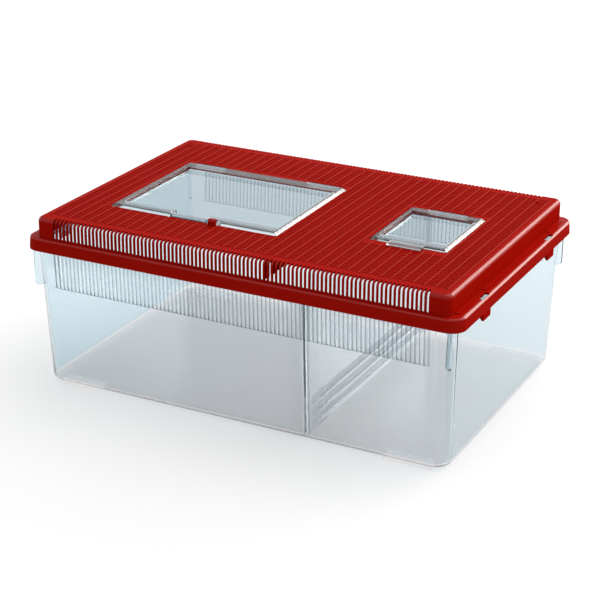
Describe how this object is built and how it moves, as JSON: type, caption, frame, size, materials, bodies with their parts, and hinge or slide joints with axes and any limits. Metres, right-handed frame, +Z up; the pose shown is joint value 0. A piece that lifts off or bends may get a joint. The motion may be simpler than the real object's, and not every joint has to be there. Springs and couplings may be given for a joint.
{
  "type": "pet keeper",
  "caption": "Flat rectangular keeper tub of clear plastic with a ventilated lid held by end hooks, hinged clear hatches in its top and a clear divider standing between guides.",
  "frame": {"origin": "middle of the ground rectangle that the four feet stand on", "axes": "+X along the length, from the large hatch to the small one; +Y from the latch side to the hinge side; +Z up"},
  "size_m": [0.46, 0.306, 0.1838],
  "materials": {
    "tub_clear": "clear, glossy, with a faint blue-grey cast",
    "divider_clear": "clear, glossy",
    "lid_red": "opaque red, glossy",
    "hatch_clear": "clear, glossy, with a faint blue cast"
  },
  "bodies": {
    "tub": {"tub": "tub_clear"},
    "divider": {"divider": "divider_clear"},
    "lid": {"lid": "lid_red"},
    "large_hatch": {"large_hatch": "hatch_clear"},
    "small_hatch": {"small_hatch": "hatch_clear"}
  },
  "joints": [
    {"name": "lid_lift", "type": "slide", "parent": "tub", "child": "lid", "axis": [0, 0, 1], "range_m": [0, 0.12]},
    {"name": "large_hatch_swing", "type": "hinge", "parent": "lid", "child": "large_hatch", "pos_m": [-0.0788, 0.0717, 0.1766], "axis": [-1, 0, 0], "range_deg": [0, 100]},
    {"name": "small_hatch_swing", "type": "hinge", "parent": "lid", "child": "small_hatch", "pos_m": [0.134, 0.05175, 0.1766], "axis": [-1, 0, 0], "range_deg": [0, 100]},
    {"name": "divider_lift", "type": "slide", "parent": "tub", "child": "divider", "axis": [0, 0, 1], "range_m": [0, 0.06]}
  ],
  "couplings": [
    {"joint": "divider_lift", "follows": "lid_lift", "ratio": 0.5}
  ]
}
